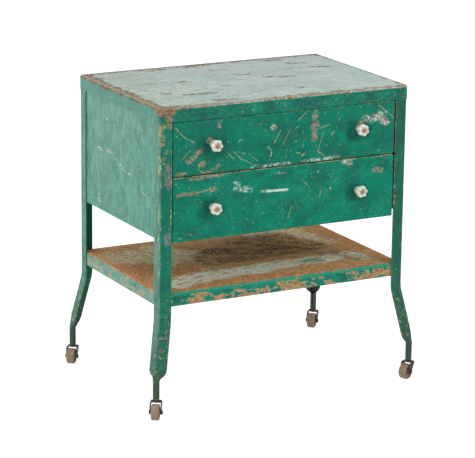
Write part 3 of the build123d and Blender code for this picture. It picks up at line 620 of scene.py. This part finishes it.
def drawer_inside(paint):
    """Thin green enamel, sprayed inside the drawers: dull, dusty and rubbed by what they held."""
    finish = Finish("Sprayed enamel inside the drawers", paint.green_grey, 0.6, 0.1)
    finish.dapple("#2C6455", 0.65, 60, 0.35, 0.7, seed=3.0, detail=5)
    finish.dapple("#7E8E7A", 0.6, (60, 2, 2), 0.7, 0.73, turn=(0, 0, 25), seed=4.0, detail=2, height=0.06)
    finish.dapple(rust(finish, paint), 0.85, 14, 0.64, 0.68, seed=5.0, detail=6, rough=0.7, height=0.0)
    return finish.close()


def runner_steel():
    """Cold-rolled steel channel, never painted: grey mill finish, rubbed bright where the drawers' lips
    slide, with brown bloom."""
    finish = Finish("Mill-finish steel runners", "#5D5852", 0.5, 0.0)
    finish.dapple("#8A857C", 0.38, (3, 160, 3), 0.45, 0.65, seed=1.0, height=0.02)
    finish.dapple("#6A4A33", 0.8, 18, 0.52, 0.64, seed=2.0, detail=6, rough=0.7, height=0.05)
    return finish.close(metallic=0.8)


def porcelain(knobs):
    """Glazed porcelain, moulded and fired: clear glossy white with grey crazing, and rust that bled from the
    bolt."""
    finish = Finish("Glazed white porcelain", knobs.glaze, 0.16, 0.0)
    # The four knobs mirror each other about the cabinet's middle and about the middle of the two heights.
    mirrored = finish.add("ShaderNodeVectorMath", {0: finish.place}, operation="ABSOLUTE").outputs[0]
    parts = finish.add("ShaderNodeSeparateXYZ", {0: mirrored}).outputs
    across = finish.joined("SUBTRACT", parts["X"], knobs.spacing / 2)
    up = finish.joined("SUBTRACT", parts["Z"], (knobs.upper_height + knobs.lower_height) / 2)
    up = finish.add("ShaderNodeMath", {0: up}, operation="ABSOLUTE").outputs[0]
    up = finish.joined("SUBTRACT", up, (knobs.upper_height - knobs.lower_height) / 2)
    off_axis = finish.add("ShaderNodeCombineXYZ", {0: across, 1: up}).outputs[0]
    from_axis = finish.add("ShaderNodeVectorMath", {0: off_axis}, operation="LENGTH").outputs["Value"]
    # Crazing cells are about 2.5 mm wide; drawn coarser than real so that it shows.
    crazing = finish.add("ShaderNodeTexVoronoi", {
        "Vector": finish.ragged(1, 3), "Scale": 1 / (2.5 * MM),
    }, feature="DISTANCE_TO_EDGE").outputs["Distance"]
    finish.layer(finish.where(crazing, 0.05, 0.02, 0.5), "#8E857A", 0.3)
    finish.dapple("#C4BCAE", 0.28, 5, 0.54, 0.75, seed=3.0, detail=5)
    # The dished face is greyer in fine spots, and rust has bled out of the bolt's seat.
    front = MIDDLE.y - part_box("upper_left_knob")[0].y
    face = finish.where(from_axis, 10 * MM, 8.6 * MM)
    face = finish.where(parts["Y"], front - 5 * MM, front - 3 * MM, face)
    finish.dapple("#A2A29A", 0.3, 2.5, 0.38, 0.55, face, 0.8, seed=6.0, detail=4)
    bled = finish.total(from_axis, (finish.grain(4, seed=1.0, detail=4), 6 * MM))
    finish.layer(finish.where(bled, 9.4 * MM, 7.6 * MM, 0.85), "#B08A62", 0.45)
    return finish.close()


def rusty_hardware():
    """Plated steel bolts and nuts that have lost their plating: orange-brown rust over dull metal."""
    finish = Finish("Rusted plated steel", "#7C5233", 0.75, 0.0)
    finish.dapple("#C08A55", 0.8, 2.2, 0.42, 0.56, seed=1.0, detail=5, rough=0.7, height=0.08)
    finish.dapple("#DDBE94", 0.6, 1.6, 0.54, 0.64, seed=2.0, detail=4, height=0.1)
    return finish.close(metallic=0.25)


def dull_plating():
    """Spun steel ferrules behind the knobs: thin grey plating gone dull and a little green, with rust in
    specks."""
    finish = Finish("Dull plated steel", "#8FA79B", 0.45, 0.0)
    finish.dapple("#A88557", 0.75, 4, 0.5, 0.6, seed=1.0, detail=5, rough=0.7, height=0.05)
    return finish.close(metallic=0.3)


def caster_steel():
    """Pressed and blackened steel of the casters: oily brown-black, rubbed grey on its edges, rusty at the
    axle."""
    finish = Finish("Blackened pressed steel", "#2E2622", 0.5, 0.0)
    finish.dapple("#4B3A30", 0.62, 5, 0.42, 0.62, seed=1.0, detail=6, rough=0.7, height=0.03)
    finish.dapple("#6E4630", 0.8, 3, 0.56, 0.66, seed=2.0, detail=6, rough=0.7, height=0.08)
    finish.layer(finish.edges(0.8, 0.97, 0.84, finish.spots(3, 0.4, 0.6, seed=3.0)), "#8B8178", 0.4, 0.0)
    return finish.close(metallic=0.5)


def wheel_composition():
    """Hard moulded rubber composition of the wheels: matt tan-grey tread that dirt and floors have dulled,
    darker sides."""
    finish = Finish("Moulded rubber composition", "#86705C", 0.7, 0.0)
    finish.dapple("#9E897A", 0.66, 10, 0.4, 0.65, seed=1.0, detail=6, rough=0.65, height=0.03)
    finish.dapple("#5C4C3E", 0.8, 3, 0.56, 0.68, seed=2.0, detail=6, rough=0.7, height=-0.04)
    finish.layer(finish.edges(1.5, 0.96, 0.8), "#7B6A58", 0.75)
    return finish.close()


def dress(material, *nodes):
    """Gives CAD nodes a finish."""
    for name in nodes:
        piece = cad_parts[name]
        if not piece.material_slots:
            piece.data.materials.append(material)
        for slot in piece.material_slots:
            slot.material = material


def bare_mesh(name, points, faces):
    """A smooth mesh from points in metres and faces, with its doubles merged and its faces pointing
    outwards."""
    data = bpy.data.meshes.new(name)
    data.from_pydata(points, [], faces)
    work = bmesh.new()
    work.from_mesh(data)
    bmesh.ops.remove_doubles(work, verts=work.verts, dist=1e-6)
    bmesh.ops.recalc_face_normals(work, faces=work.faces)
    work.to_mesh(data)
    work.free()
    for face in data.polygons:
        face.use_smooth = True
    return data


def knob_rings(knobs):
    """The rings of points that a knob is made of, from its base up, down into its dished face and back down
    its bore: each a height, a share of the lobed outline, and a plain radius where the ring is round."""
    neck, head = knobs.neck_length, knobs.head_length
    flare = knobs.neck_top_radius - knobs.neck_radius
    rings = [(0, 0, knobs.bore_radius), (0, 0, knobs.neck_radius)]
    rings += [(neck * t, 0, knobs.neck_radius + flare * t ** 2.2)
              for t in (0.15, 0.3, 0.45, 0.6, 0.75, 0.88, 0.97)]
    # The back of the head is rounded, and its rim is rolled over into the face.
    rings += [(neck + up * MM, share, 0) for up, share in ((0.1, 0.8), (0.35, 0.9), (0.9, 0.965), (1.8, 1))]
    rings += [(neck + head * t, share, 0) for t, share in (
        (0.3, 1), (0.5, 1), (0.66, 1), (0.76, 0.985), (0.86, 0.955), (0.94, 0.91), (0.985, 0.865), (1, 0.82),
        (0.985, 0.775), (0.95, 0.71), (0.92, 0.64), (0.9, 0.57))]
    # The bolt's round seat lies in the middle of the face.
    rings += [(neck + head - down * MM, 0, radius * MM)
              for down, radius in ((1.3, 5.6), (1.45, 4.9), (1.6, 4.5))]
    return rings + [(neck + head - 1.6 * MM, 0, knobs.bore_radius)]


def lobed_knob(knobs):
    """One knob on a flared neck, standing on its base at the origin with its axis up: six rounded lobes with
    a soft rim round a dished and fluted face, and the round seat of the bolt in its middle."""
    lobes, steps, flute_depth = 6, 120, 1.2 * MM
    half_lobe = math.pi / lobes
    face_height = knobs.neck_length + knobs.head_length / 2
    turns = [math.pi * 2 * i / steps for i in range(steps)]
    rings = knob_rings(knobs)
    points = []
    for height, share, plain in rings:
        for turn in turns:
            # The angle from the middle of the nearest lobe.
            off = abs((turn + half_lobe) % (2 * half_lobe) - half_lobe)
            beside = knobs.lobe_circle * math.sin(off)
            reach = knobs.lobe_circle * math.cos(off) + math.sqrt(knobs.lobe_radius ** 2 - beside ** 2)
            radius = share * reach if share else plain
            # The face sinks a little between the lobes.
            on_face = 0 < share < 1 and height > face_height
            sink = flute_depth * (off / half_lobe) ** 2 if on_face else 0
            points.append((radius * math.cos(turn), radius * math.sin(turn), height - sink))
    faces = []
    for ring in range(len(rings)):
        below, above = ring * steps, (ring + 1) % len(rings) * steps
        for i in range(steps):
            following = (i + 1) % steps
            faces.append((below + i, below + following, above + following, above + i))
    return bare_mesh("lobed_knob", points, faces)


def repeat_tree(name):
    """Geometry Nodes that set one shape at each point of a mesh, along the point's own direction, each with
    its own small turn."""
    tree = bpy.data.node_groups.new(name, "GeometryNodeTree")
    for label, kind in (
            ("Geometry", "Geometry"), ("Shape", "Object"), ("Finish", "Material"), ("Scale", "Float"),
            ("Most turn", "Float"), ("Seed", "Int")):
        tree.interface.new_socket(label, in_out="INPUT", socket_type=f"NodeSocket{kind}")
    tree.interface.new_socket("Geometry", in_out="OUTPUT", socket_type="NodeSocketGeometry")
    given = add(tree, "NodeGroupInput").outputs
    shape = add(tree, "GeometryNodeObjectInfo", {"Object": given["Shape"]}).outputs["Geometry"]
    direction = add(tree, "GeometryNodeInputNamedAttribute", {
        "Name": "direction",
    }, data_type="FLOAT_VECTOR").outputs[0]
    aligned = add(tree, "FunctionNodeAlignRotationToVector", {"Vector": direction}, axis="Z").outputs[0]
    turn = add(tree, "FunctionNodeRandomValue", {
        "Min": 0.0, 3: given["Most turn"], "Seed": given["Seed"],
    }, data_type="FLOAT").outputs[1]
    own = add(tree, "FunctionNodeAxisAngleToRotation", {"Axis": (0, 0, 1), "Angle": turn}).outputs[0]
    turned = add(tree, "FunctionNodeRotateRotation", {0: aligned, 1: own}, rotation_space="LOCAL").outputs[0]
    placed = add(tree, "GeometryNodeInstanceOnPoints", {
        "Points": given["Geometry"], "Instance": shape, "Rotation": turned, "Scale": given["Scale"],
    })
    real = add(tree, "GeometryNodeRealizeInstances", {0: placed.outputs[0]})
    finish = add(tree, "GeometryNodeSetMaterial", {"Geometry": real.outputs[0], "Material": given["Finish"]})
    add(tree, "NodeGroupOutput", {0: finish.outputs[0]})
    return tree


def repeated(name, shape, finish, points, direction, most_turn, seed):
    """Sets a shape at several points with Geometry Nodes and makes the result one plain mesh."""
    host_mesh = bpy.data.meshes.new(name)
    host_mesh.from_pydata(points, [], [])
    directions = host_mesh.attributes.new("direction", "FLOAT_VECTOR", "POINT")
    for item in directions.data:
        item.vector = direction
    host = bpy.data.objects.new(name, host_mesh)
    pattern = bpy.data.objects.new(f"{name}_shape", shape)
    for item in (host, pattern):
        bpy.context.scene.collection.objects.link(item)
    modifier = host.modifiers.new("Places", "NODES")
    modifier.node_group = repeat_tree(f"{name} places")
    values = {"Shape": pattern, "Finish": finish, "Scale": 1.0, "Most turn": most_turn, "Seed": seed}
    for item in modifier.node_group.interface.items_tree:
        if item.in_out == "INPUT" and item.name in values:
            modifier[item.identifier] = values[item.name]
    bpy.context.view_layer.update()
    ready = host.evaluated_get(bpy.context.evaluated_depsgraph_get())
    made = bpy.data.meshes.new_from_object(ready)
    host.modifiers.remove(modifier)
    host.data = made
    made.name = name
    bpy.data.objects.remove(pattern)
    return host


def seen_directly(tree):
    """A value of 1 for what the camera, reflections and clear things see, and of 0 for all other light."""
    ray = add(tree, "ShaderNodeLightPath").outputs
    seen = ray["Is Camera Ray"]
    for other in ("Is Glossy Ray", "Is Transmission Ray"):
        seen = add(tree, "ShaderNodeMath", {0: seen, 1: ray[other]}, operation="MAXIMUM").outputs[0]
    return seen


def empty_tree(holder):
    """The cleared node tree of a material or a world."""
    holder.use_nodes = True
    holder.node_tree.nodes.clear()
    return holder.node_tree


def white_floor():
    """A matt white studio floor that the camera and reflections see nearly at full white, with the stand's
    soft shadow."""
    half_side, matt_white, shadow_share, glow_strength = 9.0, 0.75, 0.3, 0.92
    floor = bpy.data.objects.new("floor", bpy.data.meshes.new("floor"))
    corners = [(x * half_side, y * half_side, 0) for x, y in ((-1, -1), (1, -1), (1, 1), (-1, 1))]
    floor.data.from_pydata(corners, [], [(0, 1, 2, 3)])
    bpy.context.scene.collection.objects.link(floor)
    paper = bpy.data.materials.new("Matt white floor")
    tree = empty_tree(paper)
    matt, faint = (add(tree, "ShaderNodeBsdfDiffuse", {"Color": (grey, grey, grey, 1)}).outputs[0]
                   for grey in (matt_white, shadow_share))
    glow = add(tree, "ShaderNodeEmission", {"Color": (1, 1, 1, 1), "Strength": glow_strength}).outputs[0]
    bright = add(tree, "ShaderNodeAddShader", {0: faint, 1: glow}).outputs[0]
    surface = add(tree, "ShaderNodeMixShader", {0: seen_directly(tree), 1: matt, 2: bright}).outputs[0]
    add(tree, "ShaderNodeOutputMaterial", {"Surface": surface})
    floor.data.materials.append(paper)


def white_room(fill):
    """A world that lights the stand evenly, and that the camera and reflections see at full white."""
    world = bpy.data.worlds.new("Even white room")
    tree = empty_tree(world)
    strength = add(tree, "ShaderNodeMix", {0: seen_directly(tree), 2: fill, 3: 1.0}).outputs[0]
    room = add(tree, "ShaderNodeBackground", {"Color": (1, 1, 1, 1), "Strength": strength}).outputs[0]
    add(tree, "ShaderNodeOutputWorld", {"Surface": room})
    bpy.context.scene.world = world


def soft_lamps(key):
    """Four round soft lamps. The low one behind on the left gives the left-facing sides their pale sheen, and
    the one in front on the left reaches in under the cabinet to the shelf."""
    lit_point = MIDDLE + Vector((0, 0, 0.4))
    for name, place, size, power in (
            ("key", (2.2, -2.6, 2.0), 1.0, key), ("overhead", (-0.4, 0.2, 2.9), 2.0, 0.42 * key),
            ("sheen", (-1.5, 2.4, 0.5), 2.0, 0.5 * key), ("left", (-2.8, -1.0, 1.2), 1.4, 0.6 * key)):
        lamp = bpy.data.objects.new(name, bpy.data.lights.new(name, "AREA"))
        lamp.data.shape, lamp.data.size, lamp.data.energy = "DISK", size, power
        lamp.location = MIDDLE + Vector(place)
        lamp.rotation_euler = (lit_point - lamp.location).to_track_quat("-Z", "Y").to_euler()
        bpy.context.scene.collection.objects.link(lamp)


def photo_camera(stage):
    """The camera at the photograph's viewing angle."""
    turn, rise, roll = stage.azimuth, stage.elevation, stage.roll
    back = Vector((math.sin(turn) * math.cos(rise), -math.cos(turn) * math.cos(rise), math.sin(rise)))
    level_right = Vector((math.cos(turn), math.sin(turn), 0))
    level_up = back.cross(level_right)
    right = level_right * math.cos(roll) + level_up * math.sin(roll)
    up = level_up * math.cos(roll) - level_right * math.sin(roll)
    camera = bpy.data.objects.new("camera", bpy.data.cameras.new("camera"))
    camera.data.sensor_width, camera.data.lens, camera.data.clip_end = 36, stage.focal_length, 100
    aim = MIDDLE + Vector((0, 0, stage.aim_height)) - right * stage.aim_left + up * stage.aim_up
    camera.location = aim + back * stage.distance
    camera.rotation_euler = Matrix((right, up, back)).transposed().to_euler()
    bpy.context.scene.collection.objects.link(camera)
    bpy.context.scene.camera = camera


class STAND_OT_top(bpy.types.Operator):
    """Paints the top sheet pale above and green below its fold"""
    bl_idname = "stand.top"
    bl_label = "Top sheet"

    def execute(self, context):
        dress(top_enamel(context.scene.stand_paint), "top_panel")
        return {"FINISHED"}


class STAND_OT_legs(bpy.types.Operator):
    """Paints the four legs green with their chips and rubs"""
    bl_idname = "stand.legs"
    bl_label = "Legs"

    def execute(self, context):
        paint = context.scene.stand_paint
        enamel = green_enamel("Green enamel on the legs", paint, chips=0.615, marks=leg_marks)
        dress(enamel, *(f"{corner}_leg" for corner in CORNERS))
        return {"FINISHED"}


class STAND_OT_panels(bpy.types.Operator):
    """Paints the side and back panels with chalked green and painted sheen"""
    bl_idname = "stand.panels"
    bl_label = "Side and back panels"

    def execute(self, context):
        enamel = chalk_and_sheen_enamel("Chalked green enamel with painted sheen on the panels", context.scene.stand_paint)
        dress(enamel, "left_side_panel", "right_side_panel", "back_panel")
        return {"FINISHED"}


class STAND_OT_shelf(bpy.types.Operator):
    """Rusts the shelf"""
    bl_idname = "stand.shelf"
    bl_label = "Shelf"

    def execute(self, context):
        dress(shelf_rust(context.scene.stand_paint), "shelf")
        return {"FINISHED"}


class STAND_OT_rivets(bpy.types.Operator):
    """Paints the rivets that hold the shelf to the legs"""
    bl_idname = "stand.rivets"
    bl_label = "Shelf rivets"

    def execute(self, context):
        enamel = green_enamel("Green enamel on the rivets", context.scene.stand_paint, chips=0.58)
        dress(enamel, "shelf_rivets")
        return {"FINISHED"}


class STAND_OT_drawers(bpy.types.Operator):
    """Paints the drawer fronts with their marks, and finishes the pans, sides and runners"""
    bl_idname = "stand.drawers"
    bl_label = "Drawers"

    def execute(self, context):
        paint = context.scene.stand_paint
        enamel = green_enamel("Green enamel on the drawer fronts", paint, chips=0.63, marks=drawer_marks)
        dress(enamel, *(f"{level}_drawer_front" for level in LEVELS))
        insides = ("pan", *(f"{side}_side" for side in SIDES))
        dress(drawer_inside(paint), *(f"{level}_drawer_{part}" for level in LEVELS for part in insides))
        dress(runner_steel(), *(f"{level}_{side}_runner" for level in LEVELS for side in SIDES))
        return {"FINISHED"}


class STAND_OT_knobs(bpy.types.Operator):
    """Sets the lobed porcelain knobs and finishes their bolts, nuts and ferrules"""
    bl_idname = "stand.knobs"
    bl_label = "Knobs"

    def execute(self, context):
        knobs = context.scene.stand_knobs
        glaze = porcelain(knobs)
        shape = lobed_knob(knobs)
        first_seed = 3
        for count, (level, height) in enumerate(zip(LEVELS, (knobs.upper_height, knobs.lower_height))):
            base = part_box(f"{level}_left_knob")[1].y
            points = [(MIDDLE.x + sign * knobs.spacing / 2, base, height) for sign in (-1, 1)]
            pair = repeated(f"{level}_porcelain_knobs", shape, glaze, points, direction=(0, -1, 0),
                            most_turn=math.radians(60), seed=first_seed + count)
            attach(pair, f"{level}_drawer")
            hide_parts(*(f"{level}_{side}_knob" for side in SIDES))
        dress(rusty_hardware(), *(f"{level}_knob_{part}" for level in LEVELS for part in ("bolts", "nuts")))
        dress(dull_plating(), *(f"{level}_knob_ferrules" for level in LEVELS))
        return {"FINISHED"}


class STAND_OT_casters(bpy.types.Operator):
    """Finishes the casters: sockets, stems, forks, axles, nuts and wheels"""
    bl_idname = "stand.casters"
    bl_label = "Casters"

    def execute(self, context):
        steel_parts = ("socket", "stem", "fork", "axle", "axle_nut")
        dress(caster_steel(), *(f"{corner}_caster_{part}" for corner in CORNERS for part in steel_parts))
        dress(wheel_composition(), *(f"{corner}_caster_wheel" for corner in CORNERS))
        return {"FINISHED"}


class STAND_OT_stage(bpy.types.Operator):
    """Makes the pale floor, the even room light, the lamps and the camera"""
    bl_idname = "stand.stage"
    bl_label = "Stage"

    def execute(self, context):
        stage = context.scene.stand_stage
        white_floor()
        white_room(stage.fill)
        soft_lamps(stage.key)
        photo_camera(stage)
        context.scene.view_settings.view_transform = "Standard"
        return {"FINISHED"}


class STAND_PT_sidebar(bpy.types.Panel):
    """Lists the stand's pieces and their settings"""
    bl_idname = "STAND_PT_sidebar"
    bl_label = "Steel Stand"
    bl_space_type = "VIEW_3D"
    bl_region_type = "UI"
    bl_category = "Steel Stand"

    def draw(self, context):
        for step in STEPS:
            self.layout.operator(f"stand.{step}")
        for group in (context.scene.stand_paint, context.scene.stand_knobs, context.scene.stand_stage):
            box = self.layout.box()
            for name in group.__annotations__:
                box.prop(group, name)


STEPS = ("top", "legs", "panels", "shelf", "rivets", "drawers", "knobs", "casters", "stage")
SETTINGS = {"stand_paint": StandPaint, "stand_knobs": StandKnobs, "stand_stage": StandStage}
OPERATORS = (STAND_OT_top, STAND_OT_legs, STAND_OT_panels, STAND_OT_shelf, STAND_OT_rivets, STAND_OT_drawers,
             STAND_OT_knobs, STAND_OT_casters, STAND_OT_stage)


def register():
    for kind in (*SETTINGS.values(), *OPERATORS, STAND_PT_sidebar):
        bpy.utils.register_class(kind)
    for name, kind in SETTINGS.items():
        setattr(bpy.types.Scene, name, bpy.props.PointerProperty(type=kind))


def unregister():
    for name in SETTINGS:
        delattr(bpy.types.Scene, name)
    for kind in (STAND_PT_sidebar, *reversed(OPERATORS), *reversed(SETTINGS.values())):
        bpy.utils.unregister_class(kind)


def main():
    """Registers the add-on and makes every piece in order."""
    register()
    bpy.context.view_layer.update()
    for step in STEPS:
        getattr(bpy.ops.stand, step)()


if __name__ == "__main__":
    main()
